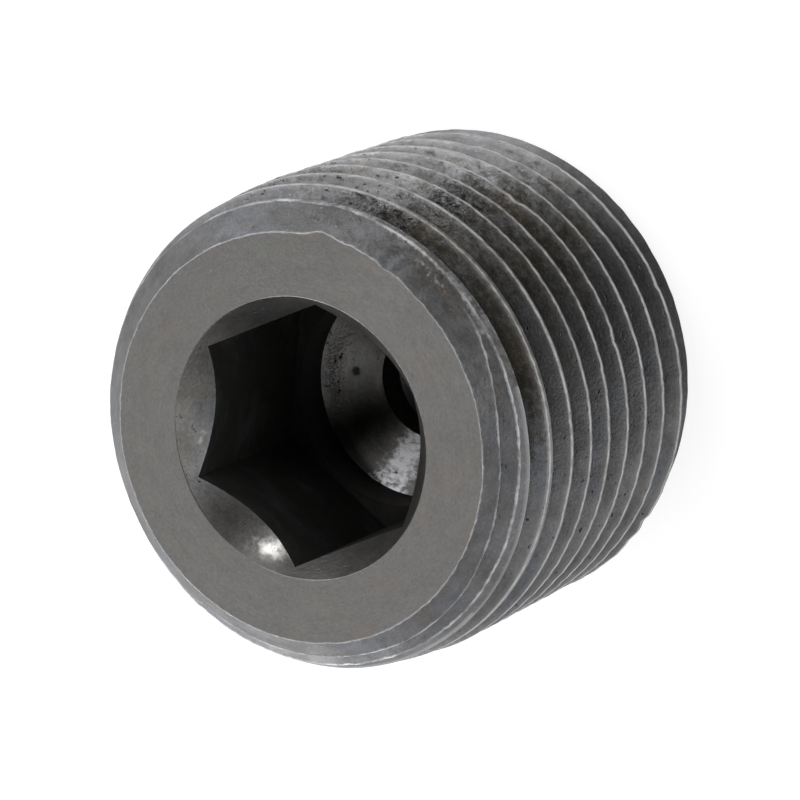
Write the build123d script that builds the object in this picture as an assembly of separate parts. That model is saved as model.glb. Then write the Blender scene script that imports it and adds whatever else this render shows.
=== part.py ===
from build123d import *
from math import atan, ceil, cos, degrees, radians, tan
import os

# Taper-thread hex socket plug, 3/8 inch 19 threads per inch, turned in one piece.
# Units are millimetres. The plug stands on its small end at Z = 0, the socket opens
# at the top, and one corner of the hexagon lies on the +X side.

# Overall form
PLUG_LENGTH = 13.0
TAPER_ON_DIAMETER = 1 / 16
GAUGE_DIAMETER = 16.662
GAUGE_FROM_SMALL_END = 6.35

# Small end, with a 45 degree chamfer round its face
SMALL_FACE_DIAMETER = 15.2

# Socket end: chamfer round the face, a blunt lead behind it, then a nose that eases the
# crests up to the taper. Angles are from the plug's axis, diameters at each cone's wide end.
SOCKET_FACE_DIAMETER = 14.16
CHAMFER_ANGLE = 48.0
CHAMFER_DIAMETER = 16.0
LEAD_ANGLE = 22.0
LEAD_DIAMETER = 16.6
NOSE_ANGLE = 4.0

# Thread of 55 degree form, with a flat crest and root each a sixth of the pitch wide
THREADS_PER_INCH = 19
THREAD_ANGLE = 55.0
THREAD_HEIGHT_TO_PITCH = 0.6403
CREST_HEIGHT_ON_X = 10.81

# Hex socket
ACROSS_FLATS = 8.0
HEX_DEPTH = 6.5
MOUTH_DIAMETER = 9.76
MOUTH_ANGLE = 75.0

# Stepped pilot hole under the hexagon
PILOT_DIAMETER = 7.6
PILOT_DEPTH = 7.9
CENTRE_HOLE_DIAMETER = 4.0
CENTRE_HOLE_DEPTH = 10.15
DRILL_POINT_ANGLE = 118.0

# How far a cutter reaches past the surface that it cuts
OVERCUT = 0.1

pitch = 25.4 / THREADS_PER_INCH
thread_height = THREAD_HEIGHT_TO_PITCH * pitch
flat_width = pitch / 6
taper_on_radius = TAPER_ON_DIAMETER / 2
taper_angle = degrees(atan(taper_on_radius))


def crest_radius(z):
    """Radius of the cone over the thread crests at height z."""
    return GAUGE_DIAMETER / 2 + (z - GAUGE_FROM_SMALL_END) * taper_on_radius


def turned(points):
    """Solid of revolution about Z of a closed outline of (radius, height) points."""
    outline = make_face(Polyline(*points, close=True).edges())
    return revolve(Plane.XZ * outline, axis=Axis.Z)


def blank():
    """Tapered bar end with its chamfers, lead and nose, before the thread is cut."""
    small_face = SMALL_FACE_DIAMETER / 2
    small_chamfer = (crest_radius(0) - small_face) / (1 - taper_on_radius)
    face = SOCKET_FACE_DIAMETER / 2
    chamfer = CHAMFER_DIAMETER / 2
    chamfer_z = PLUG_LENGTH - (chamfer - face) / tan(radians(CHAMFER_ANGLE))
    lead = LEAD_DIAMETER / 2
    lead_z = chamfer_z - (lead - chamfer) / tan(radians(LEAD_ANGLE))
    nose_slope = tan(radians(NOSE_ANGLE))
    nose_z = lead_z - (crest_radius(lead_z) - lead) / (nose_slope + taper_on_radius)
    return turned([
        (0, 0),
        (small_face, 0),
        (small_face + small_chamfer, small_chamfer),
        (crest_radius(nose_z), nose_z),
        (lead, lead_z),
        (chamfer, chamfer_z),
        (face, PLUG_LENGTH),
        (0, PLUG_LENGTH),
    ])


def groove_outline():
    """Closed outline of the groove, as (depth below the crests, height) points.

    Each flank has a point at half depth, so that it divides into fewer, squarer facets.
    """
    slope = tan(radians(THREAD_ANGLE / 2))
    upper = [
        (depth, flat_width / 2 + (thread_height - depth) * slope)
        for depth in (thread_height, thread_height / 2, -OVERCUT)
    ]
    lower = [(depth, -height) for depth, height in reversed(upper)]
    return upper + lower


def groove_edges(z):
    """One turn of the groove's edges, as conical helices that start about height z."""
    return [
        Helix(
            pitch=pitch / cos(radians(taper_angle)),
            height=pitch,
            radius=crest_radius(z) - depth,
            center=(0, 0, z + height),
            cone_angle=taper_angle,
        ).edge()
        for depth, height in groove_outline()
    ]


def thread_groove():
    """Right-hand V groove with a flat root, running out past both ends of the blank."""
    lowest = (CREST_HEIGHT_ON_X + pitch / 2) % pitch - 2 * pitch
    turns = [groove_edges(lowest + i * pitch) for i in range(ceil(PLUG_LENGTH / pitch) + 2)]
    sides = [
        Face.make_surface_from_curves(edge, following)
        for edges in turns
        for edge, following in zip(edges, edges[1:] + edges[:1])
    ]
    first = Face(Wire.make_polygon([edge @ 0 for edge in turns[0]]))
    last = Face(Wire.make_polygon([edge @ 1 for edge in turns[-1]]))
    return Solid(Shell(sides + [first, last]))


def hexagon():
    """Hexagonal hole, from the socket face down to where the broach stopped."""
    section = RegularPolygon(ACROSS_FLATS / 2, 6, major_radius=False)
    return Pos(0, 0, PLUG_LENGTH - HEX_DEPTH) * extrude(section, HEX_DEPTH + OVERCUT)


def mouth():
    """Conical lead-in round the mouth of the hexagon."""
    slope = tan(radians(MOUTH_ANGLE / 2))
    radius = MOUTH_DIAMETER / 2
    top = PLUG_LENGTH + OVERCUT
    return turned([
        (0, PLUG_LENGTH - radius / slope),
        (radius + OVERCUT * slope, top),
        (0, top),
    ])


def pilot_hole():
    """Drilled hole with a second, smaller drill run on from its conical bottom."""
    slope = tan(radians(DRILL_POINT_ANGLE / 2))
    pilot = PILOT_DIAMETER / 2
    centre = CENTRE_HOLE_DIAMETER / 2
    pilot_floor = PLUG_LENGTH - PILOT_DEPTH
    centre_floor = PLUG_LENGTH - CENTRE_HOLE_DEPTH
    top = PLUG_LENGTH + OVERCUT
    return turned([
        (0, centre_floor - centre / slope),
        (centre, centre_floor),
        (centre, pilot_floor - (pilot - centre) / slope),
        (pilot, pilot_floor),
        (pilot, top),
        (0, top),
    ])


plug = blank() - hexagon() - mouth() - pilot_hole() - thread_groove()

os.makedirs("parts", exist_ok=True)
export_step(plug, "parts/socket_plug.step")
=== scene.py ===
import logging
import math
from dataclasses import dataclass, field
from enum import Enum

import bpy
import numpy as np
from mathutils import Matrix, Vector, noise


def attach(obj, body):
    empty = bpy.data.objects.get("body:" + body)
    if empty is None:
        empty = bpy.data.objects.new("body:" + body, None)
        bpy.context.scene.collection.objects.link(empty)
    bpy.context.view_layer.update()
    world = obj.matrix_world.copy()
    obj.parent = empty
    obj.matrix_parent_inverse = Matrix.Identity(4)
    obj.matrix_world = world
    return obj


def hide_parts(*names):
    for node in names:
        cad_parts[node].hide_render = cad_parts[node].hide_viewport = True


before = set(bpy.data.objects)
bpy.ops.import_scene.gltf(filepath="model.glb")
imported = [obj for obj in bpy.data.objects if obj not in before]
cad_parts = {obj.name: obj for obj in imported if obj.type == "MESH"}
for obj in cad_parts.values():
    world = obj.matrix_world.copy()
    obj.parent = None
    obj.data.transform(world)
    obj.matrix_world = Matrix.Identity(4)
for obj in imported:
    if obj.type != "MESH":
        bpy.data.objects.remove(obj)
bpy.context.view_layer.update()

LOG = logging.getLogger("socket_plug")
MM = 0.001
FULL_TURN = 2 * math.pi
COLUMNS = 540  # divides by six, so that each corner of the hexagon has a column
FAR = 9.0  # mm, where there is no edge or corner nearby
HAIR = 1e-5  # mm, too little to tell two heights apart

Array = np.ndarray
Tree = bpy.types.NodeTree
Socket = bpy.types.NodeSocket


# ---------------------------------------------------------------- shape of the plug


def bell(angle: Array | float, centre: float, spread: float) -> Array | float:
    """Smooth bump of height 1 round the plug, at angles in degrees."""
    return np.exp(-((((angle - centre + 180) % 360 - 180) / spread) ** 2))


def slide(angle: Array, centre: float, width: float) -> Array:
    """Smooth rise from 0 to 1 at angles in degrees, or a fall where the width is negative."""
    return 1 / (1 + np.exp(-(angle - centre) / width))


def in_degrees(angle: Array) -> Array:
    """Turns angles in radians into degrees from -180 to 180."""
    return (np.degrees(angle) + 180) % 360 - 180


@dataclass(frozen=True)
class Wave:
    """Random wave over the outside that joins up round the plug.

    Its height is in mm, or a share of what it changes. Cycles are its waves in a full turn,
    along its waves in a turn of the helix, and the seed picks one of many such waves.
    """

    height: float
    cycles: float
    seed: float
    along: float = 0.0

    def at(self, angle: Array, winding: Array | float = 0.0) -> Array:
        """Height of the wave, mostly up to its own height either way.

        Args:
            angle: Angles in radians.
            winding: Places along the helix, in turns.

        Returns:
            Heights of the wave there.
        """
        reach = self.cycles / FULL_TURN
        angle, along = np.broadcast_arrays(angle, winding * self.along)
        flat = [
            noise.noise((reach * math.cos(a) + self.seed, reach * math.sin(a), w))
            for a, w in zip(angle.ravel().tolist(), along.ravel().tolist())
        ]
        return self.height * 2 * np.array(flat).reshape(angle.shape)


@dataclass(frozen=True)
class Bump:
    """Smooth bump round the plug, with its centre and spread in degrees.

    Its height is in mm, or a share of what it changes.
    """

    height: float
    centre: float
    spread: float

    def at(self, degrees: Array | float) -> Array | float:
        """Height of the bump at angles in degrees."""
        return self.height * bell(degrees, self.centre, self.spread)


@dataclass(frozen=True)
class Nick:
    """Place where a crest is flattened or torn.

    Crests are counted from the socket end, where they cross +X, angles are in degrees
    from -180 to 180, and depths in mm.
    """

    crest: int
    angle: float
    spread: float
    depth: float

    def on(self, winding: Array) -> Array:
        """Depth of the nick at each place along the helix, in turns from the first crest."""
        away = (winding - (1 - self.crest) - self.angle / 360) * 360
        return self.depth * np.exp(-((away / self.spread) ** 2))


NICKS = (
    Nick(1, -12, 5, 0.09),
    Nick(1, -24, 4, 0.07),
    Nick(1, -52, 4, 0.07),
    Nick(1, 8, 8, 0.04),
    Nick(2, -38, 5, 0.05),
    Nick(2, -20, 2.5, 0.04),
    Nick(2, 26, 3.5, 0.05),
    Nick(4, 25, 3, 0.04),
    Nick(5, 40, 2.5, 0.08),
    Nick(5, 35, 3, 0.1),
    Nick(5, -5.5, 2, 0.05),
    Nick(7, 48.5, 2, 0.05),
    Nick(7, 60, 2.5, 0.06),
    Nick(8, 2.5, 1.5, 0.05),
    Nick(8, -60, 1.6, 0.07),
    Nick(8, -67, 2.5, 0.05),
    Nick(3, 160, 3, 0.08),
    Nick(6, -140, 2.5, 0.07),
    Nick(4, -155, 4, 0.06),
    Nick(7, 120, 3, 0.07),
)


@dataclass(frozen=True)
class Thread:
    """Right-hand taper pipe thread of 55 degree form, 19 to the inch. Sizes are in mm."""

    pitch: float = 25.4 / 19
    flank_angle: float = 27.5
    height_to_pitch: float = 0.6403
    gauge_diameter: float = 16.662
    gauge_height: float = 6.35
    taper_on_radius: float = 1 / 32
    crest_height_on_x: float = 10.81
    proud: float = 0.045
    facets: Wave = Wave(0.009, 26, 3.1, along=2.3)
    jags: Wave = Wave(0.012, 190, 8.7, along=9.0)
    tears: Wave = Wave(0.3, 200, 5.5, along=11.0)
    roll: float = 0.012
    first_roll: float = 0.03
    first_roll_turns: float = 0.42
    roll_wave: Wave = Wave(0.5, 60, 1.9, along=5.0)
    crest_rows: int = 2
    upper_flank_rows: int = 6
    root_rows: int = 2
    lower_flank_rows: int = 3

    @property
    def height(self) -> float:
        """Depth of the groove below the crest cone."""
        return self.height_to_pitch * self.pitch

    @property
    def half_flat(self) -> float:
        """Half the width of a crest cut off at the crest cone, and of the root."""
        return self.pitch / 12

    @property
    def slope(self) -> float:
        """Axial run of a flank for each mm of depth."""
        return math.tan(math.radians(self.flank_angle))

    def crest_radius(self, z: Array | float) -> Array | float:
        """Radius of the crest cone at height z."""
        return self.gauge_diameter / 2 + (z - self.gauge_height) * self.taper_on_radius

    def crest_depths(self, angle: Array, winding: Array) -> tuple[Array, Array]:
        """Depths of a crest's two corners below the crest cone.

        The tool's chatter and the knocks that the plug has had make them wander, and the corner
        towards the socket is rolled over, most of all on the first crest.

        Args:
            angle: Angles in radians.
            winding: Places along the helix, in turns.

        Returns:
            Depths of the corner towards the small end, and of the one towards the socket.
        """
        chatter = self.facets.at(angle, winding) + self.jags.at(angle, winding)
        worn = sum(nick.on(winding) for nick in NICKS)
        depth = -self.proud + chatter + worn * (1 + self.tears.at(angle, winding))
        rolled = self.first_roll * np.exp(-((winding / self.first_roll_turns) ** 2)) + self.roll
        return depth, depth + rolled * (1 + self.roll_wave.at(angle, winding))

    def rows(self, angle: Array, turns: Array) -> tuple[Array, Array, Array]:
        """Rows of the thread's surface.

        Args:
            angle: Angles of the columns, in radians.
            turns: Whole turns to build, from the lowest.

        Returns:
            Heights, radii and whether a row is a corner of the profile, by row and column.
        """
        heights, radii, corners = [], [], []
        counts = (self.crest_rows, self.upper_flank_rows, self.root_rows, self.lower_flank_rows)
        root_edge = self.half_flat + self.height * self.slope
        for turn in turns:
            winding = turn + angle / FULL_TURN
            low, high = self.crest_depths(angle, winding)
            next_low = self.crest_depths(angle, winding + 1)[0]
            rises = (
                -self.half_flat - low * self.slope,
                self.half_flat + high * self.slope,
                np.full_like(angle, root_edge),
                np.full_like(angle, self.pitch - root_edge),
                self.pitch - self.half_flat - next_low * self.slope,
            )
            bottom = np.full_like(angle, self.height)
            depths = (low, high, bottom, bottom, next_low)
            for i, count in enumerate(counts):
                for step in range(count):
                    share = step / count
                    rise = rises[i] + (rises[i + 1] - rises[i]) * share
                    depth = depths[i] + (depths[i + 1] - depths[i]) * share
                    z = self.crest_height_on_x + self.pitch * winding + rise
                    heights.append(z)
                    radii.append(self.crest_radius(z) - depth)
                    corners.append(np.full(angle.shape, step == 0))
        return np.array(heights), np.array(radii), np.array(corners)


@dataclass(frozen=True)
class Blank:
    """Turned bar end that the thread is cut on. Sizes are in mm, angles from the axis."""

    length: float = 13.0
    small_face_diameter: float = 15.2
    socket_face_diameter: float = 14.16
    chamfer_angle: float = 48.0
    chamfer_diameter: float = 16.0
    lead_angle: float = 22.0
    lead_diameter: float = 16.6
    nose_angle: float = 4.0
    clearance: float = 0.12
    small_rim_wave: Wave = Wave(0.012, 90, 12.0)
    rim_wear: float = 0.02
    rim_knocks: tuple[Bump, ...] = (
        Bump(0.20, 58, 3.5), Bump(0.09, 47, 11), Bump(-0.05, 38, 2), Bump(-0.05, 25, 2.5),
    )
    rim_wave: Wave = Wave(0.012, 22, 6.0)
    rim_jags: Wave = Wave(1.0, 120, 4.0)
    rim_jag: float = 0.008
    torn_rim_jag: Bump = Bump(0.012, 20, 45)
    step_start: float = 0.38  # below the socket face, at the angle step_origin
    step_origin: float = -25.0
    step_climb: float = 1.1  # in a full turn
    step_drop: float = 0.33
    step_drop_angle: float = -4.0
    step_dip: Bump = Bump(0.12, 20, 20)
    step_span: tuple[float, float] = (-118.0, 16.0)  # degrees between which it shows
    step_limits: tuple[float, float] = (0.2, 0.66)
    step_depth: float = 0.07
    step_width: float = 0.06
    step_jags: Wave = Wave(1.0, 160, 9.0)
    ridge_waves: tuple[Wave, ...] = (Wave(0.014, 40, 2.0), Wave(0.008, 170, 2.5))
    chamfer_wave: Wave = Wave(0.02, 34, 7.0)
    lead_wave: Wave = Wave(0.01, 30, 13.0)

    def step(self, degrees: Array) -> tuple[Array, Array]:
        """Fine step on the chamfer, where the thread starts to cut into it.

        It climbs with the thread, drops where the first crest begins, and dips once more
        before it runs out.

        Args:
            degrees: Angles in degrees.

        Returns:
            The step's distance below the socket face, and its depth.
        """
        first, last = self.step_span
        climb = self.step_start - (degrees - self.step_origin) / 360 * self.step_climb
        drop = self.step_drop * slide(degrees, self.step_drop_angle, 7)
        place = climb + drop + self.step_dip.at(degrees)
        depth = self.step_depth * slide(degrees, last, -6) * slide(degrees, first, 10)
        return np.clip(place, *self.step_limits), depth

    def outline(self, thread: Thread, angle: Array) -> tuple[Array, Array]:
        """Corners of the bar's outline, from the small face to the socket face.

        Args:
            thread: The thread that is cut on the bar.
            angle: Angles of the columns, in radians.

        Returns:
            Heights and radii of the corners, by corner and column.
        """
        degrees = in_degrees(angle)
        even = np.zeros_like(angle)
        small = self.small_face_diameter / 2 + self.small_rim_wave.at(angle)
        chamfer = self.chamfer_diameter / 2
        lead = self.lead_diameter / 2
        face = self.socket_face_diameter / 2
        cone = math.tan(math.radians(self.chamfer_angle))
        chamfer_z = self.length - (chamfer - face) / cone
        lead_z = chamfer_z - (lead - chamfer) / math.tan(math.radians(self.lead_angle))
        nose = math.tan(math.radians(self.nose_angle))
        gap = thread.crest_radius(lead_z) + self.clearance - lead
        nose_z = lead_z - gap / (nose + thread.taper_on_radius)
        top = thread.crest_radius(0) + self.clearance
        small_z = (top - small) / (1 - thread.taper_on_radius)
        torn = self.torn_rim_jag.at(degrees)
        rim = (
            face - self.rim_wear + sum(knock.at(degrees) for knock in self.rim_knocks)
            + (self.rim_jag + torn) * self.rim_jags.at(angle) + self.rim_wave.at(angle)
        )
        place, depth = self.step(degrees)
        step_depth = np.maximum(depth + torn * self.step_jags.at(angle), 0)
        foot = place + self.step_width
        ridge = chamfer + sum(wave.at(angle) for wave in self.ridge_waves)
        below = chamfer_z + self.chamfer_wave.at(angle)
        fall = (ridge - rim) / (self.length - below)
        heights = np.stack([
            even, small_z, nose_z + even, lead_z + even, below,
            self.length - foot, self.length - place, self.length + even,
        ])
        radii = np.stack([
            small, small + small_z, thread.crest_radius(nose_z) + self.clearance + even,
            lead + self.lead_wave.at(angle), ridge,
            rim + fall * foot - step_depth, rim + fall * place, rim,
        ])
        return heights, radii


@dataclass(frozen=True)
class Bore:
    """Countersunk hexagon over a stepped, drilled hole. Sizes are in mm."""

    across_flats: float = 8.0
    hexagon_depth: float = 6.5
    mouth_diameter: float = 9.76
    mouth_angle: float = 75.0
    mouth_edge: float = 0.014
    mouth_waves: tuple[Wave, ...] = (Wave(0.004, 30, 15.0), Wave(0.001, 140, 16.0))
    pilot_diameter: float = 7.6
    pilot_depth: float = 7.9
    centre_diameter: float = 4.0
    centre_depth: float = 10.15
    point_angle: float = 118.0

    def hexagon_radius(self, angle: Array) -> Array:
        """Distance from the axis to the hexagon's wall at each angle."""
        sixth = math.pi / 3
        return self.across_flats / 2 / np.cos((angle % sixth) - sixth / 2)

    def mouth_radius(self, angle: Array) -> Array:
        """Radius of the mouth at each angle, where knocks have pushed its edge about."""
        return self.mouth_diameter / 2 + sum(wave.at(angle) for wave in self.mouth_waves)


class Zone(Enum):
    """Surfaces of the plug that were made in different ways."""

    THREAD = 0
    TURNED = 1
    FACE = 2
    COUNTERSUNK = 3
    BROACHED = 4
    DRILLED = 5
    BORED = 6


class Mark(Enum):
    """What has happened to a patch of the surface, or what painted shade or highlight lies on it, as the
    finish knows it.
    """

    PITTED = "pitted"
    BROWN = "brown"
    BARE_AND_HIGHLIGHT = "bare"
    PAINTED_SHADE = "painted_shade"
    GRIMY = "grimy"


@dataclass(frozen=True)
class Patch:
    """Soft-edged patch of wear, rust, grime, pits, painted shade or painted highlight, outside or in the
    bore.

    It fades over spread degrees round the plug, and over reach mm up and down it.
    """

    mark: Mark
    angle: float
    height: float
    spread: float
    reach: float
    strength: float = 1.0
    in_bore: bool = False


PATCHES = (
    Patch(Mark.PITTED, 47, 11.4, 13, 0.8, 1.0),
    Patch(Mark.PITTED, 40, 8.0, 7, 2.4, 0.9),
    Patch(Mark.PITTED, 80, 9.0, 30, 4.0, 0.35),
    Patch(Mark.PITTED, -35, 7.0, 40, 5.0, 0.22),
    Patch(Mark.PITTED, 170, 7.5, 25, 2.5, 0.6),
    Patch(Mark.PITTED, -140, 3.5, 22, 2.0, 0.6),
    Patch(Mark.PITTED, 150, 4.86, 22, 0.16, 0.75, in_bore=True),
    Patch(Mark.BROWN, 38, 10.6, 12, 0.9, 0.9),
    Patch(Mark.BROWN, 36, 5.6, 7, 0.5, 1.0),
    Patch(Mark.BROWN, 24, 3.4, 8, 0.5, 0.9),
    Patch(Mark.BROWN, 8, 2.1, 6, 0.35, 0.8),
    Patch(Mark.BROWN, 0, 11.2, 7, 0.4, 0.8),
    Patch(Mark.BROWN, 22, 12.5, 24, 0.4, 0.6),
    Patch(Mark.BROWN, 14, 7.0, 34, 5.0, 0.45),
    Patch(Mark.BROWN, 150, 5.0, 18, 1.5, 0.6),
    Patch(Mark.BARE_AND_HIGHLIGHT, 27, 12.42, 14, 0.16, 0.5),
    Patch(Mark.BARE_AND_HIGHLIGHT, 35, 12.13, 13, 0.075, 1.0),
    Patch(Mark.BARE_AND_HIGHLIGHT, -6, 10.84, 4, 0.07, 1.0),
    # Painted highlights: bare patches on the drill point and the countersink lie where their bright fans of
    # reflected light fall.
    Patch(Mark.BARE_AND_HIGHLIGHT, -132, 4.5, 15, 1.2, 1.0, in_bore=True),
    Patch(Mark.BARE_AND_HIGHLIGHT, -134, 12.4, 10, 0.4, 1.0, in_bore=True),
    Patch(Mark.BARE_AND_HIGHLIGHT, 164, 12.2, 9, 0.5, 0.4, in_bore=True),
    # Painted shade: dark patches on the drill point and the countersink, where the bore falls into shade
    # between the bright fans of reflected light.
    Patch(Mark.PAINTED_SHADE, -172, 4.6, 20, 1.0, 1.0, in_bore=True),
    Patch(Mark.PAINTED_SHADE, -150, 5.07, 24, 0.13, 0.9, in_bore=True),
    Patch(Mark.PAINTED_SHADE, -162, 12.4, 14, 0.6, 0.45, in_bore=True),
    Patch(Mark.PAINTED_SHADE, 152, 4.48, 2.2, 0.05, 6.0, in_bore=True),
    Patch(Mark.GRIMY, 22, 7.0, 36, 6.0, 1.0),
    Patch(Mark.GRIMY, 86, 8.0, 26, 6.0, 0.35),
    Patch(Mark.GRIMY, 8, 11.3, 38, 0.7, 0.8),
    Patch(Mark.GRIMY, 30, 12.6, 30, 0.5, 0.3),
)


@dataclass
class Skin:
    """Rows of points from the small face, over the outside, to the bottom of the bore.

    A row holds one point for each column, from -X round to it again. Rows of the thread climb
    by one pitch in a turn, so the last column meets the first one a pitch further up.
    """

    points: list[Array] = field(default_factory=list)
    lay: list[Array] = field(default_factory=list)
    values: dict[str, list[Array]] = field(default_factory=dict)
    faces: list[tuple[int, ...]] = field(default_factory=list)
    zones: list[int] = field(default_factory=list)
    angles: Array = field(default_factory=lambda: math.pi + np.arange(COLUMNS) * FULL_TURN / COLUMNS)
    count: int = 0

    def add_points(
        self, radius: Array, z: Array, angle: Array, run: Array, edge: Array,
        nook: Array | float = FAR, flat: Array | float = 0.0,
    ) -> Array:
        """Adds points and what the finish needs to know of them.

        Args:
            radius: Distances from the axis.
            z: Heights.
            angle: Angles about the axis.
            run: Distances along the profile.
            edge: Distances to the nearest edge that stands out.
            nook: Distances to the nearest inner corner.
            flat: 1 on the crests and the lead, which rub against what the plug lies on.

        Returns:
            The points' numbers.
        """
        radius, z, angle, run, edge, nook, flat = (
            np.ravel(a).astype(float)
            for a in np.broadcast_arrays(radius, z, angle, run, edge, nook, flat)
        )
        across, along = np.cos(angle), np.sin(angle)
        self.points.append(np.stack([radius * across, radius * along, z], 1))
        mean = np.maximum(radius, 0.5)
        self.lay.append(np.stack([mean * across, mean * along, run], 1))
        for name, value in (("edge", edge), ("nook", nook), ("flat", flat)):
            self.values.setdefault(name, []).append(value)
        numbers = np.arange(self.count, self.count + radius.size)
        self.count += radius.size
        return numbers

    def ring(self, radius: Array | float, z: Array | float, run: float, edge: float) -> Array:
        """Adds one closed ring of points and returns their numbers."""
        return self.add_points(radius, z, self.angles, run, edge)

    def face(self, corners: list[int], zone: Zone) -> None:
        """Adds a face, leaving out repeated corners."""
        kept = [c for i, c in enumerate(corners) if c != corners[i - 1]]
        if len(set(kept)) > 2:
            self.faces.append(tuple(kept))
            self.zones.append(zone.value)

    def bridge(self, lower: Array, upper: Array, zone: Zone) -> None:
        """Joins two rings that follow each other along the profile."""
        for a, b, c, d in zip(lower, np.roll(lower, -1), np.roll(upper, -1), upper):
            self.face([int(a), int(b), int(c), int(d)], zone)

    def cap(self, ring: Array, z: float, run: float, zone: Zone, inward: bool) -> None:
        """Closes a ring with a fan round a point on the axis."""
        tip = int(self.add_points(0.0, z, 0.0, run, FAR)[0])
        for a, b in zip(ring, np.roll(ring, -1)):
            self.face([int(a), int(b), tip] if inward else [int(b), int(a), tip], zone)


@dataclass(frozen=True)
class Stretch:
    """Stretch of the bore's profile between two (radius, height) places, in mm.

    The gaps are its ends' distances to the nearest edge that stands out, and the bulge is how
    far its middle is rounded outwards.
    """

    start: tuple[Array | float, Array | float]
    end: tuple[Array | float, Array | float]
    rows: int
    zone: Zone
    gaps: tuple[float, float] = (FAR, FAR)
    bulge: float = 0.0


@dataclass
class PlugBody:
    """The whole plug: threaded outside, chamfers, socket face, hexagon and drilled bore.

    Sizes are in mm. Turns are how far the profile bends at a corner, in radians.
    """

    thread: Thread = Thread()
    blank: Blank = Blank()
    bore: Bore = Bore()
    skin: Skin = field(default_factory=Skin)
    first_turn: int = -10
    last_turn: int = 2
    closest: float = 0.03  # between two corners of the profile
    groove_shelter: float = 0.35  # below the crests, where nothing rubs
    outer_turn: float = 0.12
    sharp_turn: float = 0.42
    inner_turn: float = 0.15
    blunt_cover: float = 0.12  # how much further off wear finds a blunt corner
    groove_cover: float = 0.06
    rim_cover: float = 0.018
    mouth_cover: float = 0.045
    widening: float = 0.4  # how fast the worn line widens with the crest's flat
    # widens the worn crest lines on the top side of the plug, partly as a painted highlight
    wide_wear_and_highlight: Bump = Bump(0.9, 78, 36)
    socket_face_run: float = 40.0  # length of the profile at the axis, on the socket face
    small_face_run: float = 60.0
    small_face_rings: tuple[float, ...] = (0.97, 0.85, 0.65, 0.4, 0.15)  # shares of its radius
    socket_face_rings: tuple[float, ...] = (0.01, 0.08, 0.25, 0.5, 0.75, 0.95, 1.0)
    rim_radius: float = 7.12
    body_radius: float = 7.2
    face_margin: float = 0.02
    chamfer_depth: float = 1.0
    uneven: float = 0.004
    torn_chamfer: Bump = Bump(0.012, 22, 36)
    lumps: float = 3.2  # waves of unevenness in 1 mm
    grit: float = 8.0
    sharp_angle: float = 18.0  # degrees between two faces, from which their edge is sharp

    def outside(self) -> tuple[Array, Array]:
        """Builds the threaded outside between the two faces.

        Returns:
            Numbers of the points round the small face, and round the socket face.
        """
        skin, thread = self.skin, self.thread
        turns = np.arange(self.first_turn, self.last_turn + 1)
        z, radius, corner = thread.rows(skin.angles, turns)
        heights, radii = self.blank.outline(thread, skin.angles)
        small_chamfer_z, lead_z = heights[1], heights[3]
        for column in range(COLUMNS):
            self.trim(z, radius, corner, heights, radii, column)
        first = (z <= 0).sum(0) - 1
        last = (z < self.blank.length).sum(0)
        rows = np.arange(len(z))[:, None]
        inside = (rows >= first) & (rows <= last)
        behind = self.behind_lead(z)
        measures = self.measure(z, radius, inside, behind)
        number = np.full(z.shape, -1)
        angle = np.broadcast_to(skin.angles, z.shape)
        number[inside] = skin.add_points(
            radius[inside], z[inside], angle[inside], *(value[inside] for value in measures)
        )
        number = np.take_along_axis(number, np.clip(rows, first, last), 0)
        corner = np.take_along_axis(corner, np.clip(rows, first, last), 0)
        turned = (z > lead_z - HAIR) | (z < small_chamfer_z + HAIR)
        turned = np.take_along_axis(turned, np.clip(rows, first, last), 0)
        self.stitch(number, corner, turned, len(z) // len(turns))
        return number[0], number[-1]

    def behind_lead(self, z: Array) -> Array:
        """Tells which points lie on the small end's side of the groove behind the lead."""
        turn = in_degrees(self.skin.angles) / 360 + 0.5
        return z < self.thread.crest_height_on_x + self.thread.pitch * turn

    def trim(
        self, z: Array, radius: Array, corner: Array, heights: Array, radii: Array, column: int
    ) -> None:
        """Cuts one column of the thread down to the bar's outline.

        The rows nearest to the corners of the cut profile move on to them.

        Args:
            z: Heights of the thread's points, changed in place.
            radius: Their radii, changed in place.
            corner: Which of them lie on a corner, changed in place.
            heights: Heights of the outline's corners.
            radii: Their radii.
            column: The column to cut.
        """
        own_z, own_r = z[:, column].copy(), radius[:, column].copy()
        bar_z, bar_r = heights[:, column], radii[:, column]
        grid = np.unique(np.concatenate([own_z, bar_z]))
        over = np.interp(grid, own_z, own_r) - np.interp(grid, bar_z, bar_r)
        cut = np.nonzero((over[:-1] > 0) != (over[1:] > 0))[0]
        meeting = grid[cut] + (grid[cut + 1] - grid[cut]) * over[cut] / (over[cut] - over[cut + 1])
        bare = np.interp(bar_z, own_z, own_r) >= bar_r
        threaded = corner[:, column] & (own_r <= np.interp(own_z, bar_z, bar_r))
        bare[0] = bare[-1] = True
        targets = np.concatenate([bar_z[bare], meeting, own_z[threaded]])
        targets = np.unique(targets[(targets >= bar_z[0]) & (targets <= bar_z[-1])])
        targets = targets[np.insert(np.diff(targets) > self.closest, 0, True)]
        targets[-1] = bar_z[-1]
        places: list[int] = []
        for target in targets:
            place = int(np.abs(own_z - target).argmin())
            places.append(max(place, places[-1] + 1) if places else place)
        new_z = own_z.copy()
        new_z[places] = targets
        for a, b in zip(places, places[1:]):
            if np.any(np.diff(new_z[a:b + 1]) <= HAIR):
                new_z[a:b + 1] = np.linspace(new_z[a], new_z[b], b - a + 1)
        new_z[:places[0]] = np.minimum(new_z[:places[0]], bar_z[0] - self.closest)
        new_z[places[-1] + 1:] = np.maximum(new_z[places[-1] + 1:], bar_z[-1] + self.closest)
        z[:, column] = new_z
        radius[:, column] = np.minimum(
            np.interp(new_z, own_z, own_r), np.interp(new_z, bar_z, bar_r)
        )
        corner[:, column] = False
        corner[places, column] = True

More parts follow.
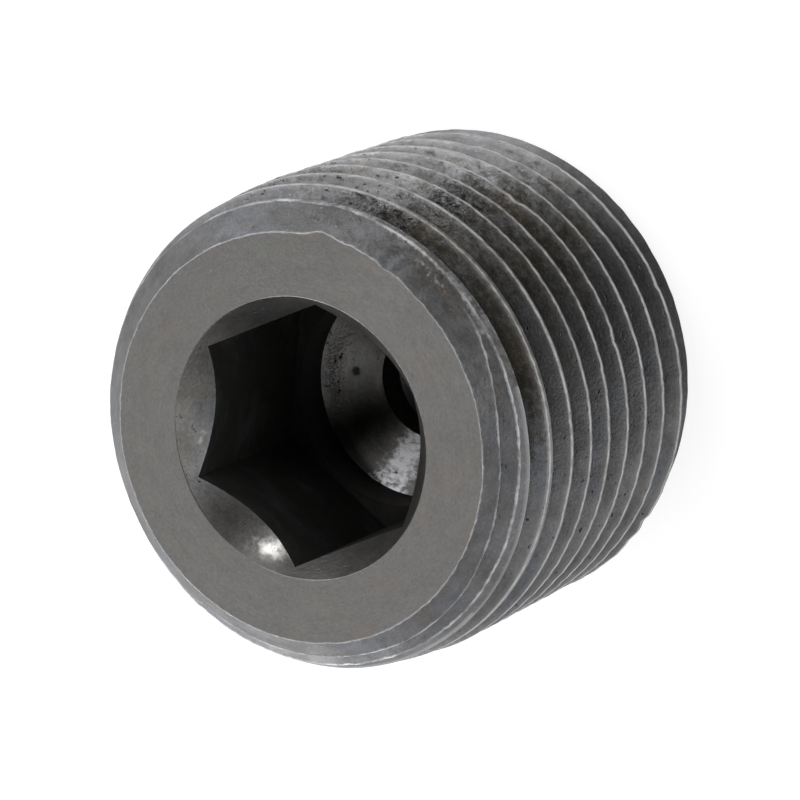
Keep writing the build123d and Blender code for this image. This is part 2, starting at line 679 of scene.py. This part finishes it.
    def measure(self, z: Array, radius: Array, inside: Array, behind: Array) -> tuple[Array, ...]:
        """Measures along the profile of each column.

        Args:
            z: Heights of the points.
            radius: Their radii.
            inside: Which points lie between the two faces.
            behind: Which points lie behind the lead, where the crests are.

        Returns:
            Each point's distance along the profile; to the nearest edge that stands out, which
            behind the lead is the middle of a crest; and to the nearest inner corner; and
            whether it lies on a crest or on the lead.
        """
        run, edge, nook, flat = (np.zeros_like(z) for _ in range(4))
        # the wider worn lines on the top side are partly a painted highlight
        widening = 1 + self.wide_wear_and_highlight.at(in_degrees(self.skin.angles))
        sharpening = self.sharp_turn - self.outer_turn
        for column in range(z.shape[1]):
            keep = np.nonzero(inside[:, column])[0]
            crests = behind[keep, column]
            dz, dr = np.diff(z[keep, column]), np.diff(radius[keep, column])
            length = np.concatenate([[0], np.cumsum(np.hypot(dz, dr))])
            turn = np.concatenate([[-1], np.diff(np.arctan2(dr, dz)), [-1]])
            level = np.concatenate([[False], np.abs(dr) < 0.5 * dz, [False]])
            shelter = self.thread.crest_radius(z[keep, column]) - self.groove_shelter
            exposed = radius[keep, column] > shelter
            gaps = np.abs(length[:, None] - length[None, :])
            cover = self.blunt_cover * (1 - np.clip((-turn - self.outer_turn) / sharpening, 0, 1))
            over_groove = ~level[:-1] & level[1:] & ~crests
            cover += np.where(over_groove, self.groove_cover, 0)
            cover[[0, -1]] += self.rim_cover
            away = (gaps + cover + np.where(turn < -self.outer_turn, 0, FAR)).min(1)
            off = self.off_crest(length, level[1:-1], exposed) / widening[column]
            edge[keep, column] = np.where(crests, off, away)
            nook[keep, column] = (gaps + np.where(turn > self.inner_turn, 0, FAR)).min(1)
            run[keep, column] = length
            flat[keep, column] = (level[:-1] | level[1:]) & exposed
        return run, edge, nook, flat

    def off_crest(self, length: Array, level: Array, exposed: Array) -> Array:
        """Measures how far the points of one column lie from the middle of a crest.

        Args:
            length: Distance of each point along the profile.
            level: Which stretches between two points are nearly parallel to the axis.
            exposed: Which points lie outside the groove.

        Returns:
            The distance in mm, which counts for less on a wide crest.
        """
        on_flat = np.concatenate([[False], level & exposed[:-1] & exposed[1:], [False]])
        ends = np.nonzero(on_flat[1:] != on_flat[:-1])[0]
        start, stop = length[ends[::2]], length[ends[1::2]]
        wide = ((stop - start) / 2 / self.thread.half_flat) ** self.widening
        return (np.abs(length[:, None] - (start + stop) / 2) / wide).min(1)

    def stitch(self, number: Array, corner: Array, turned: Array, rows_in_pitch: int) -> None:
        """Joins the rows of the outside, so that no face folds across a corner.

        Args:
            number: Numbers of the points, by row and column.
            corner: Which of them lie on a corner of the profile.
            turned: Which of them lie on the lead or on a chamfer.
            rows_in_pitch: How many rows the thread climbs in one turn.
        """
        last_row = len(number) - 1
        for column in range(COLUMNS):
            following = (column + 1) % COLUMNS
            climb = rows_in_pitch if following == 0 else 0
            for row in range(last_row):
                low = min(row + climb, last_row)
                high = min(row + 1 + climb, last_row)
                a, b = int(number[row, column]), int(number[low, following])
                c, d = int(number[high, following]), int(number[row + 1, column])
                smooth = turned[row, column] and turned[row + 1, column]
                zone = Zone.TURNED if smooth else Zone.THREAD
                faces = [[a, b, c, d]]
                if corner[row, column] and corner[high, following]:
                    faces = [[a, b, c], [a, c, d]]
                elif corner[low, following] and corner[row + 1, column]:
                    faces = [[a, b, d], [b, c, d]]
                for face in faces:
                    self.skin.face(face, zone)

    def small_end(self, rim: Array) -> None:
        """Closes the small end with rings that shrink from its rim to the axis."""
        radius = self.blank.small_face_diameter / 2
        ring = rim
        for share in self.small_face_rings:
            run = self.small_face_run - radius * share
            inner = self.skin.ring(radius * share, 0.0, run, radius * (1 - share))
            self.skin.bridge(inner, ring, Zone.FACE)
            ring = inner
        self.skin.cap(ring, 0.0, self.small_face_run, Zone.FACE, inward=False)

    def socket_face(self, rim: Array) -> Array:
        """Builds the flat face between its rim and the rounded mouth of the socket.

        Returns:
            Numbers of the points where the mouth's rounded edge starts.
        """
        skin, top = self.skin, self.blank.length
        rim_points = np.concatenate(skin.points)[rim]
        outer = np.hypot(rim_points[:, 0], rim_points[:, 1])
        mouth = self.bore.mouth_radius(skin.angles) + self.bore.mouth_edge
        ring = rim
        for share in self.socket_face_rings:
            radius = outer + (mouth - outer) * share
            gap = np.minimum(outer - radius, radius - mouth + self.mouth_cover)
            inner = skin.ring(radius, top, self.socket_face_run - radius, gap)
            skin.bridge(ring, inner, Zone.FACE)
            ring = inner
        return ring

    def inside(self, ring: Array) -> None:
        """Builds the mouth's edge, the countersink, the hexagon and the drilled hole."""
        bore, top, skin = self.bore, self.blank.length, self.skin
        wall = bore.hexagon_radius(skin.angles)
        mouth = bore.mouth_radius(skin.angles)
        slope, point = (
            math.tan(math.radians(angle / 2)) for angle in (bore.mouth_angle, bore.point_angle)
        )
        start, lip = mouth - bore.mouth_edge * slope, top - bore.mouth_edge
        hex_edge = lip - (start - wall) / slope
        pilot, centre, tip = bore.pilot_diameter / 2, bore.centre_diameter / 2, 0.1
        hex_floor, pilot_floor, centre_floor = (
            top - depth for depth in (bore.hexagon_depth, bore.pilot_depth, bore.centre_depth)
        )
        step, tip_z = pilot_floor - (pilot - centre) / point, centre_floor - (centre - tip) / point
        edge = 0.05
        stretches = (
            Stretch(
                (mouth + bore.mouth_edge, top), (start, lip), 3, Zone.COUNTERSUNK,
                gaps=(edge, edge), bulge=bore.mouth_edge * 0.4,
            ),
            Stretch((start, lip), (wall, hex_edge), 6, Zone.COUNTERSUNK, gaps=(edge, 0.65)),
            Stretch((wall, hex_edge), (wall, hex_floor), 5, Zone.BROACHED),
            Stretch((wall, hex_floor), (pilot, hex_floor), 1, Zone.BROACHED),
            Stretch((pilot, hex_floor), (pilot, pilot_floor), 2, Zone.BORED),
            Stretch((pilot, pilot_floor), (centre, step), 18, Zone.DRILLED),
            Stretch((centre, step), (centre, centre_floor), 2, Zone.DRILLED),
            Stretch((centre, centre_floor), (tip, tip_z), 3, Zone.DRILLED),
        )
        run = self.socket_face_run - float(np.mean(mouth))
        for stretch in stretches:
            (radius, z), (near, far) = stretch.start, stretch.gaps
            rise, drop = stretch.end[0] - radius, stretch.end[1] - z
            for i in range(1, stretch.rows + 1):
                share = i / stretch.rows
                sag = stretch.bulge * math.sin(math.pi * share)
                run += float(np.mean(np.hypot(rise, drop))) / stretch.rows
                following = skin.ring(
                    radius + rise * share + sag, z + drop * share + sag / 2, run,
                    near + (far - near) * share,
                )
                skin.bridge(ring, following, stretch.zone)
                ring = following
        skin.cap(ring, centre_floor - centre / point, run, Zone.DRILLED, inward=True)

    def roughen(self, points: Array) -> Array:
        """Gives the turned and pitted outside its small unevenness.

        Args:
            points: All points of the skin.

        Returns:
            The points after the move.
        """
        radius = np.hypot(points[:, 0], points[:, 1])
        degrees = np.degrees(np.arctan2(points[:, 1], points[:, 0]))
        below = self.blank.length - points[:, 2]
        off_face = (below > self.face_margin) & (points[:, 2] > self.face_margin)
        on_body = (radius > self.body_radius) & off_face
        on_chamfer = (radius > self.rim_radius) & off_face & (below < self.chamfer_depth)
        size = self.uneven * on_body + self.torn_chamfer.at(degrees) * on_chamfer
        wave = np.array([
            noise.noise(Vector(p * self.lumps)) + 0.5 * noise.noise(Vector(p * self.grit))
            for p in points
        ])
        moved = points.copy()
        moved[:, :2] *= (1 + size * wave / np.maximum(radius, 1))[:, None]
        moved[:, 2] += size * wave * 0.7
        return moved

    def marks(self, points: Array, mark: Mark) -> Array:
        """Strength of one kind of mark at each point."""
        degrees = np.degrees(np.arctan2(points[:, 1], points[:, 0]))
        mouth = self.bore.mouth_diameter / 2 + self.face_margin
        bored = (np.hypot(points[:, 0], points[:, 1]) < mouth) & (points[:, 2] > self.face_margin)
        total = np.zeros(len(points))
        for patch in PATCHES:
            if patch.mark is mark:
                level = np.exp(-(((points[:, 2] - patch.height) / patch.reach) ** 2))
                here = patch.strength * bell(degrees, patch.angle, patch.spread) * level
                total += np.where(bored == patch.in_bore, here, 0)
        return np.clip(total, 0, 1)

    def build(self) -> bpy.types.Object:
        """Builds the plug's mesh and returns its object, in metres."""
        small_rim, socket_rim = self.outside()
        self.small_end(small_rim)
        self.inside(self.socket_face(socket_rim))
        skin = self.skin
        points = np.concatenate(skin.points)
        mesh = bpy.data.meshes.new("plug_body")
        mesh.from_pydata((points * MM).tolist(), [], skin.faces)
        mesh.polygons.foreach_set("material_index", skin.zones)
        mesh.polygons.foreach_set("use_smooth", [True] * len(mesh.polygons))
        mesh.set_sharp_from_angle(angle=math.radians(self.sharp_angle))
        mesh.vertices.foreach_set("co", (self.roughen(points) * MM).ravel())
        lay = mesh.attributes.new("lay", "FLOAT_VECTOR", "POINT")
        lay.data.foreach_set("vector", np.concatenate(skin.lay).astype(np.float32).ravel())
        values = {mark.value: self.marks(points, mark) for mark in Mark}
        values.update({name: np.concatenate(value) for name, value in skin.values.items()})
        for name, value in values.items():
            layer = mesh.attributes.new(name, "FLOAT", "POINT")
            layer.data.foreach_set("value", value.astype(np.float32))
        if mesh.validate():
            LOG.warning("plug_body had faces that were mended")
        mesh.update()
        body = bpy.data.objects.new("plug_body", mesh)
        bpy.context.scene.collection.objects.link(body)
        return body

    def dress(self, body: bpy.types.Object) -> None:
        """Gives each zone of the plug its finish."""
        for zone in Zone:
            body.data.materials.append(FINISHES[zone].material())


# ---------------------------------------------------------------- finishes


def linear(hexadecimal: str) -> tuple[float, float, float, float]:
    """Linear colour with full alpha of an sRGB hex value such as 7f7f7f."""
    parts = [int(hexadecimal[i:i + 2], 16) / 255 for i in (0, 2, 4)]
    red, green, blue = (
        p / 12.92 if p <= 0.04045 else ((p + 0.055) / 1.055) ** 2.4 for p in parts
    )
    return red, green, blue, 1.0


def add_node(
    tree: Tree, kind: str, links: dict | None = None, **settings: object
) -> bpy.types.Node:
    """Adds a node.

    Args:
        tree: The node tree that it goes into.
        kind: Its type, such as ShaderNodeMix.
        links: Its inputs, by name or number, each a value or another node's output.
        settings: Its own properties.

    Returns:
        The new node.
    """
    made = tree.nodes.new(kind)
    for name, value in settings.items():
        setattr(made, name, value)
    for key, value in (links or {}).items():
        if isinstance(value, Socket):
            tree.links.new(value, made.inputs[key])
        else:
            made.inputs[key].default_value = value
    return made


def empty_tree(owner: bpy.types.Material | bpy.types.World) -> Tree:
    """Gives a material or a world an empty node tree and returns it."""
    owner.use_nodes = True
    owner.node_tree.nodes.clear()
    return owner.node_tree


@dataclass(frozen=True)
class Pattern:
    """Random pattern whose grains have a real size on the plug.

    The sizes are in mm, round the plug and along its profile. The pattern is 0 where the
    noise is below low, and 1 where it is above high.
    """

    around: float
    along: float
    low: float = 0.3
    high: float = 0.7
    detail: float = 2.0
    harsh: float = 0.6

    def add(self, tree: Tree, lay: Socket, more: Socket | None = None) -> Socket:
        """Adds the pattern to a material.

        Args:
            tree: The material's nodes.
            lay: Place on the plug, in mm.
            more: Raises the noise where it is above 0, so that there are more grains there.

        Returns:
            The pattern's value, from 0 to 1.
        """
        size = (1 / self.around, 1 / self.around, 1 / self.along)
        place = add_node(tree, "ShaderNodeVectorMath", {0: lay, 1: size}, operation="MULTIPLY")
        value = add_node(
            tree, "ShaderNodeTexNoise",
            {"Vector": place.outputs[0], "Scale": 1.0, "Detail": self.detail, "Roughness": self.harsh},
        ).outputs["Fac"]
        if more is not None:
            value = add_node(tree, "ShaderNodeMath", {0: value, 1: more}, operation="ADD").outputs[0]
        return add_node(
            tree, "ShaderNodeMapRange", {0: value, 1: self.low, 2: self.high},
            interpolation_type="SMOOTHSTEP",
        ).outputs[0]


@dataclass(frozen=True)
class BlackOxide:
    """Black oxide on machined steel.

    The eye gets a dark satin grey, neither quite metal nor paint, that is mottled by oil and
    handling. It wears to bright lines along the edges, and pits and rust show in it.

    Tinted to caked and scratched say how strongly each layer shows, bumpy and lay_depth how
    high the relief is, and pits and flecks how common they are. Wear is the width of the bright
    line in mm. It is broken into dashes of about dash mm, which are rarer where gap is higher,
    and is as bright as dullest between them.
    """

    name: str
    dark: str = "656567"
    light: str = "757576"
    cool: str = "6d737d"
    warm: str = "6e685f"
    rust: str = "554a40"
    # dark colour of dirt, also used for painted shade in corners and in the bore
    dirt_and_shade: str = "1b1a18"
    grime: str = "37342d"
    bare: str = "b0b0af"
    # colour of scuffs, which in the bore are partly a painted highlight
    scuff_and_highlight: str = "a9a7a3"
    scuff_size: float = 0.15
    metallic: float = 1.0
    roughness: float = 0.40
    burnished: float = 0.0
    tinted: float = 0.35
    blotched: float = 0.24
    grained: float = 0.18
    rubbed: float = 0.16
    marked: float = 0.05
    # painted shade: how dark the line laid in every inner corner is
    corner_shade: float = 0.45
    caked: float = 0.9
    shine: float = 0.5
    scratched: float = 0.25
    bumpy: float = 0.8
    lay_depth: float = 0.15
    pits: float = -0.02
    wear: float = 0.062
    dash: float = 0.5
    gap: float = 0.0
    dullest: float = 0.4
    flecks: float = 0.73
    relief_size: float = 0.006  # mm for each unit of relief

    def material(self) -> bpy.types.Material:
        """Builds the finish and returns its material."""
        made = bpy.data.materials.new(self.name)
        tree = empty_tree(made)
        layers = self.layers(tree)
        relief = self.blend(
            tree, layers, 0.0, grain=self.bumpy, marks=self.lay_depth, combs=-2.5,
            blotches=self.bumpy, pits=-3.0,
        )
        bump = add_node(
            tree, "ShaderNodeBump", {"Height": relief, "Distance": self.relief_size * MM, "Strength": 1.0}
        )
        # Oil smooths the surface in clouds, grime roughens it, and a scuff burnishes it.
        rough = self.blend(
            tree, layers, self.roughness + 0.04, clouds=-0.08, grime=0.3, bare=-self.burnished
        )
        shader = add_node(
            tree, "ShaderNodeBsdfPrincipled",
            {
                "Base Color": self.colour(tree, layers),
                "Metallic": self.metallic,
                "Specular IOR Level": self.shine,
                "Roughness": rough,
                "Normal": bump.outputs[0],
            },
        )
        add_node(tree, "ShaderNodeOutputMaterial", {"Surface": shader.outputs[0]})
        return made

    def layers(self, tree: Tree) -> dict[str, Socket]:
        """Adds what the finish is made of: the mesh's own layers, and patterns on them.

        Args:
            tree: The material's nodes.

        Returns:
            The layers by name, each from 0 to 1, apart from the distances edge and nook in mm.
        """
        lay = add_node(tree, "ShaderNodeAttribute", attribute_name="lay").outputs["Vector"]
        made = {
            name: add_node(tree, "ShaderNodeAttribute", attribute_name=name).outputs["Fac"]
            for name in ("edge", "nook", "flat", *(mark.value for mark in Mark))
        }
        for name, pattern in (
            # Oil and handling leave soft clouds 2 to 3 mm wide, and blotches a third of that.
            ("clouds", Pattern(2.4, 2.4, 0.3, 0.7, 4)),
            ("blotches", Pattern(0.7, 0.5, 0.35, 0.75, 4)),
            # The oxide film is bluer where it is thin, and oil turns it olive.
            ("blue", Pattern(3.1, 1.5, 0.5, 0.68, 3)),
            ("olive", Pattern(1.9, 1.1, 0.5, 0.7, 4)),
            # The oxide's crystals are a few microns wide, drawn at 0.12 mm so that they show.
            ("grain", Pattern(0.12, 0.12, 0.25, 0.75, 3)),
            # Tool marks follow the cut, 0.08 mm apart.
            ("marks", Pattern(2.5, 0.08, 0.3, 0.7, 2)),
            # Handling scratches run across the thread, 0.06 mm wide.
            ("scratches", Pattern(0.06, 1.2, 0.66, 0.76, 1)),
            # The tool chattered across the flanks, about every 0.1 mm.
            ("chatter", Pattern(0.09, 0.8, 0.42, 0.62, 1)),
        ):
            made[name] = pattern.add(tree, lay)
        for name, mark, gain, start, pattern in (
            # Corrosion pits are 0.1 to 0.3 mm wide and lie in clusters.
            ("pits", Mark.PITTED, 0.15, self.pits, Pattern(0.26, 0.2, 0.65, 0.78, 2)),
            # Grime cakes in patches half a mm wide, which break up into ever finer grains.
            ("grime", Mark.GRIMY, 0.38, -0.25, Pattern(0.5, 0.35, 0.36, 0.74, 6, 0.8)),
            ("rust", Mark.BROWN, 0.34, 0.0, Pattern(0.4, 0.22, 0.66, 0.92, 5)),
            # Bare flecks are where a high spot has rubbed through the oxide.
            ("flecks", Mark.PITTED, 0.06, 0.0, Pattern(0.13, 0.09, self.flecks, self.flecks + 0.06, 2)),
            # A scuffed patch, which in the bore is partly a painted highlight, has a ragged border, and
            # specks of oxide left in it.
            ("scuffs_and_highlights", Mark.BARE_AND_HIGHLIGHT, 0.6, 0.0, Pattern(self.scuff_size, self.scuff_size, 0.75, 1.1, 5)),
        ):
            more = add_node(
                tree, "ShaderNodeMath", {0: made[mark.value], 1: gain, 2: start},
                operation="MULTIPLY_ADD",
            )
            made[name] = pattern.add(tree, lay, more.outputs[0])
        # Where the flanks are pitted, the pits run together along the chatter marks.
        made["combs"] = add_node(
            tree, "ShaderNodeMath", {0: made["chatter"], 1: made["pitted"]}, operation="MULTIPLY"
        ).outputs[0]
        # Painted shade: a dark line is laid in every inner corner.
        made["line"] = add_node(
            tree, "ShaderNodeMapRange", {0: made["nook"], 1: 0.07, 2: 0.01}
        ).outputs[0]
        made["worn"] = self.worn(tree, lay, made["edge"])
        return made

    def colour(self, tree: Tree, layers: dict[str, Socket]) -> Socket:
        """Adds the colour of the film, and over it the layers from the oldest to the newest.

        Args:
            tree: The material's nodes.
            layers: What the finish is made of.

        Returns:
            The colour.
        """
        colour = add_node(
            tree, "ShaderNodeMix",
            {0: layers["clouds"], 6: linear(self.dark), 7: linear(self.light)}, data_type="RGBA",
        )
        for name, strength, tint in (
            ("blue", self.tinted, self.cool),
            ("olive", self.tinted, self.warm),
            ("blotches", self.blotched, self.dirt_and_shade),
            ("grain", self.grained, self.dirt_and_shade),
            ("marks", self.marked, self.dirt_and_shade),
            ("grime", self.caked, self.grime),
            ("rust", 0.7, self.rust),
            ("scratches", self.scratched, self.bare),
            ("combs", 0.4, self.dirt_and_shade),
            ("flat", self.rubbed, self.bare),
            ("pits", 0.8, self.dirt_and_shade),
            # painted shade in the bore
            ("painted_shade", 0.9, self.dirt_and_shade),
            # painted shade in every inner corner
            ("line", self.corner_shade, self.dirt_and_shade),
            ("flecks", 0.6, self.bare),
            ("worn", 1.0, self.bare),
            # scuffs, partly painted highlights in the bore
            ("scuffs_and_highlights", 1.0, self.scuff_and_highlight),
            ("grime", self.caked * 0.3, self.grime),
        ):
            share = add_node(
                tree, "ShaderNodeMath", {0: layers[name], 1: strength}, operation="MULTIPLY"
            )
            colour = add_node(
                tree, "ShaderNodeMix",
                {0: share.outputs[0], 6: colour.outputs[2], 7: linear(tint)}, data_type="RGBA",
            )
        return colour.outputs[2]

    def blend(
        self, tree: Tree, layers: dict[str, Socket], start: float, **shares: float
    ) -> Socket:
        """Adds up layers.

        Args:
            tree: The material's nodes.
            layers: What the finish is made of.
            start: What the layers are added to.
            shares: What each layer counts for, by its name.

        Returns:
            The sum.
        """
        total = start
        for name, share in shares.items():
            total = add_node(
                tree, "ShaderNodeMath", {0: layers[name], 1: share, 2: total},
                operation="MULTIPLY_ADD",
            ).outputs[0]
        return total

    def worn(self, tree: Tree, lay: Socket, edge: Socket) -> Socket:
        """Adds the bright line that wear leaves along an edge.

        Args:
            tree: The material's nodes.
            lay: Place on the plug, in mm.
            edge: Distance to the nearest edge, in mm.

        Returns:
            How bare the steel is, from 0 to 1.
        """
        ragged = Pattern(0.22, 0.15, 0.25, 0.75, 3).add(tree, lay)
        width = add_node(
            tree, "ShaderNodeMath", {0: ragged, 1: self.wear, 2: self.wear * 0.6},
            operation="MULTIPLY_ADD",
        ).outputs[0]
        inner = add_node(tree, "ShaderNodeMath", {0: width, 1: 0.3}, operation="MULTIPLY")
        line = add_node(
            tree, "ShaderNodeMapRange", {0: edge, 1: width, 2: inner.outputs[0], 3: 0.0, 4: 1.0}
        )
        # The line is broken into dashes where the edge is better protected.
        dashes = Pattern(self.dash, self.dash, 0.35 + self.gap, 0.6 + self.gap, 4).add(tree, lay)
        bright = add_node(tree, "ShaderNodeMapRange", {0: dashes, 3: self.dullest, 4: 1.0})
        return add_node(
            tree, "ShaderNodeMath", {0: line.outputs[0], 1: bright.outputs[0]}, operation="MULTIPLY"
        ).outputs[0]


FINISHES: dict[Zone, BlackOxide] = {
    Zone.THREAD: BlackOxide("black_oxide_thread"),
    Zone.TURNED: BlackOxide(
        "black_oxide_turned", "69696a", "79797b", bare="b6b7ba", scuff_and_highlight="b8b6b2",
        roughness=0.48, lay_depth=0.2, wear=0.065, dash=0.9, gap=0.04, dullest=0.25,
        pits=-0.04, rubbed=0.42, flecks=0.725, corner_shade=0.06, caked=0.45,
    ),
    Zone.FACE: BlackOxide(
        "black_oxide_face", "7a7977", "858381", cool="80827e", warm="867f79", bare="d2d2d2",
        roughness=0.45, wear=0.035, dash=0.3, gap=0.08, dullest=0.08, flecks=0.76, tinted=0.4,
        grained=0.2, blotched=0.08, scratched=0.05, rubbed=0.0, pits=-0.08, bumpy=0.2,
        lay_depth=0.1, caked=0.0,
    ),
    Zone.COUNTERSUNK: BlackOxide(
        "black_oxide_countersunk", "6b6a68", "7e7c7a", scuff_and_highlight="a8a7a5", scuff_size=0.4,
        roughness=0.38, burnished=0.14, wear=0.02, dash=0.22, gap=0.12, dullest=0.12,
        flecks=0.72, scratched=0.15, lay_depth=0.1, bumpy=0.45, grained=0.28, caked=0.0,
    ),
    # The walls deep in the socket are sooty and get hardly any light, so they look matt.
    Zone.BROACHED: BlackOxide(
        "black_oxide_broached", "252524", "2a2a29", scuff_and_highlight="2a2a29", metallic=0.0, shine=0.05,
        roughness=0.8, wear=0.0, tinted=0.1, flecks=0.9, scratched=0.0, marked=0.0, pits=-0.2,
        corner_shade=0.0,
    ),
    # The drill point's pale scuff colour paints the highlight of its bright reflection fan.
    Zone.DRILLED: BlackOxide(
        "black_oxide_drilled", "7f7d7b", "93918e", scuff_and_highlight="d6d6da", scuff_size=0.22,
        roughness=0.44, wear=0.0, scratched=0.0, marked=0.0, bumpy=0.4,
    ),
    # Painted light: the pilot wall is a lighter copy of the broached finish, standing in for light that
    # hardly reaches it.
    Zone.BORED: BlackOxide(
        "black_oxide_bored_painted_light", "3e3d3b", "464543", scuff_and_highlight="464543", metallic=0.0, shine=0.05,
        roughness=0.8, wear=0.0, tinted=0.1, flecks=0.9, scratched=0.0, marked=0.0, pits=-0.2,
        corner_shade=0.0,
    ),
}


# ---------------------------------------------------------------- studio


@dataclass(frozen=True)
class Softbox:
    """Round soft light in the tent. Its angles are in degrees, and azimuth 0 is at -Y.

    The light is even as far as the angle even from its centre, and ends at the angle reach.
    A negative radiance makes a dark opening.
    """

    azimuth: float
    elevation: float
    even: float
    reach: float
    radiance: float

    def add(self, tree: Tree, direction: Socket, total: Socket | float) -> Socket:
        """Adds the light to a world.

        Args:
            tree: The world's nodes.
            direction: Direction in which the world is seen.
            total: Radiance of the lights before this one.

        Returns:
            Radiance with this light in it.
        """
        centre = toward(self.azimuth, self.elevation)
        near = add_node(
            tree, "ShaderNodeVectorMath", {0: direction, 1: centre}, operation="DOT_PRODUCT"
        )
        edge, full = math.cos(math.radians(self.reach)), math.cos(math.radians(self.even))
        share = add_node(
            tree, "ShaderNodeMapRange", {0: near.outputs["Value"], 1: edge, 2: full, 4: self.radiance},
            interpolation_type="SMOOTHSTEP",
        )
        return add_node(tree, "ShaderNodeMath", {0: total, 1: share.outputs[0]}, operation="ADD").outputs[0]


SOFTBOXES = (
    Softbox(110, 60, 22, 38, -0.45),
    Softbox(-159, 44, 10, 31, 2.05),
    Softbox(-68, 12, 10, 36, 4.5),
    Softbox(86, 26, 8, 22, 1.2),
    Softbox(12, 58, 10, 28, 0.65),
    Softbox(6, 22, 10, 27, 0.6),
    Softbox(-145, 8, 15, 42, 0.9),
    Softbox(60, 10, 10, 35, 1.0),
    Softbox(168, 50, 5, 13, 4.4),
    Softbox(157, 11, 3, 8, 9.0),
)


def toward(azimuth: float, elevation: float) -> tuple[float, float, float]:
    """Direction from the plug to a place round it, by azimuth and elevation in degrees."""
    around, up = math.radians(azimuth), math.radians(elevation)
    return math.sin(around) * math.cos(up), -math.cos(around) * math.cos(up), math.sin(up)


@dataclass(frozen=True)
class Studio:
    """White floor, a light tent with softboxes, and the camera."""

    azimuth: float = 91.78
    elevation: float = 57.15
    roll: float = 112.98
    distance: float = 418.5
    aim: tuple[float, float, float] = (0.09, -0.12, 6.5)
    lens: float = 554.0
    fill: float = 0.45
    floor_side: float = 3.0  # metres from the plug to each side
    floor_glow: float = 0.82

    def camera(self) -> None:
        """Sets the camera, which looks down into the socket and is rolled on its side."""
        data = bpy.data.cameras.new("camera")
        data.lens = self.lens
        data.sensor_width = 36.0
        data.clip_start, data.clip_end = 0.01, 20.0
        camera = bpy.data.objects.new("camera", data)
        back = Vector(toward(self.azimuth, self.elevation))
        level = back.to_track_quat("Z", "Y").to_matrix()
        turned = level @ Matrix.Rotation(-math.radians(self.roll), 3, "Z")
        place = Matrix.Translation((Vector(self.aim) + back * self.distance) * MM)
        camera.matrix_world = place @ turned.to_4x4()
        bpy.context.scene.collection.objects.link(camera)
        bpy.context.scene.camera = camera

    def tent(self) -> None:
        """Lights the scene from all round. The camera sees the tent as plain white."""
        world = bpy.data.worlds.new("tent")
        tree = empty_tree(world)
        direction = add_node(tree, "ShaderNodeTexCoord").outputs["Generated"]
        total = self.fill
        for softbox in SOFTBOXES:
            total = softbox.add(tree, direction, total)
        seen = add_node(tree, "ShaderNodeLightPath").outputs["Is Camera Ray"]
        shown = add_node(tree, "ShaderNodeMix", {0: seen, 2: total, 3: 1.0}, data_type="FLOAT")
        light = add_node(
            tree, "ShaderNodeBackground", {"Color": linear("ffffff"), "Strength": shown.outputs[0]}
        )
        add_node(tree, "ShaderNodeOutputWorld", {"Surface": light.outputs[0]})
        bpy.context.scene.world = world

    def floor(self) -> None:
        """Lays the white floor, which glows a little for the camera and keeps the shadow."""
        side = self.floor_side
        mesh = bpy.data.meshes.new("floor")
        mesh.from_pydata(
            [(-side, -side, 0), (side, -side, 0), (side, side, 0), (-side, side, 0)], [], [(0, 1, 2, 3)]
        )
        floor = bpy.data.objects.new("floor", mesh)
        bpy.context.scene.collection.objects.link(floor)
        material = bpy.data.materials.new("white_floor")
        tree = empty_tree(material)
        ray = add_node(tree, "ShaderNodeLightPath").outputs
        seen = ray["Is Camera Ray"]
        for kind in ("Is Glossy Ray", "Is Transmission Ray"):
            seen = add_node(
                tree, "ShaderNodeMath", {0: seen, 1: ray[kind]}, operation="MAXIMUM"
            ).outputs[0]
        matt = add_node(tree, "ShaderNodeBsdfDiffuse", {"Color": linear("f0f0f0")})
        pale = add_node(tree, "ShaderNodeBsdfDiffuse", {"Color": linear("959595")})
        glow = add_node(
            tree, "ShaderNodeEmission", {"Color": linear("ffffff"), "Strength": self.floor_glow}
        )
        shown = add_node(tree, "ShaderNodeAddShader", {0: pale.outputs[0], 1: glow.outputs[0]})
        surface = add_node(
            tree, "ShaderNodeMixShader", {0: seen, 1: matt.outputs[0], 2: shown.outputs[0]}
        )
        add_node(tree, "ShaderNodeOutputMaterial", {"Surface": surface.outputs[0]})
        mesh.materials.append(material)


def main() -> None:
    """Builds the plug and the studio."""
    logging.basicConfig(level=logging.INFO, format="%(name)s: %(message)s")
    bpy.context.scene.view_settings.view_transform = "Standard"
    studio = Studio()
    studio.camera()
    studio.tent()
    studio.floor()
    plug = PlugBody()
    body = plug.build()
    plug.dress(body)
    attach(body, "root")
    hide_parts("socket_plug")
    LOG.info("%s: %d faces", body.name, len(body.data.polygons))


if __name__ == "__main__":
    main()
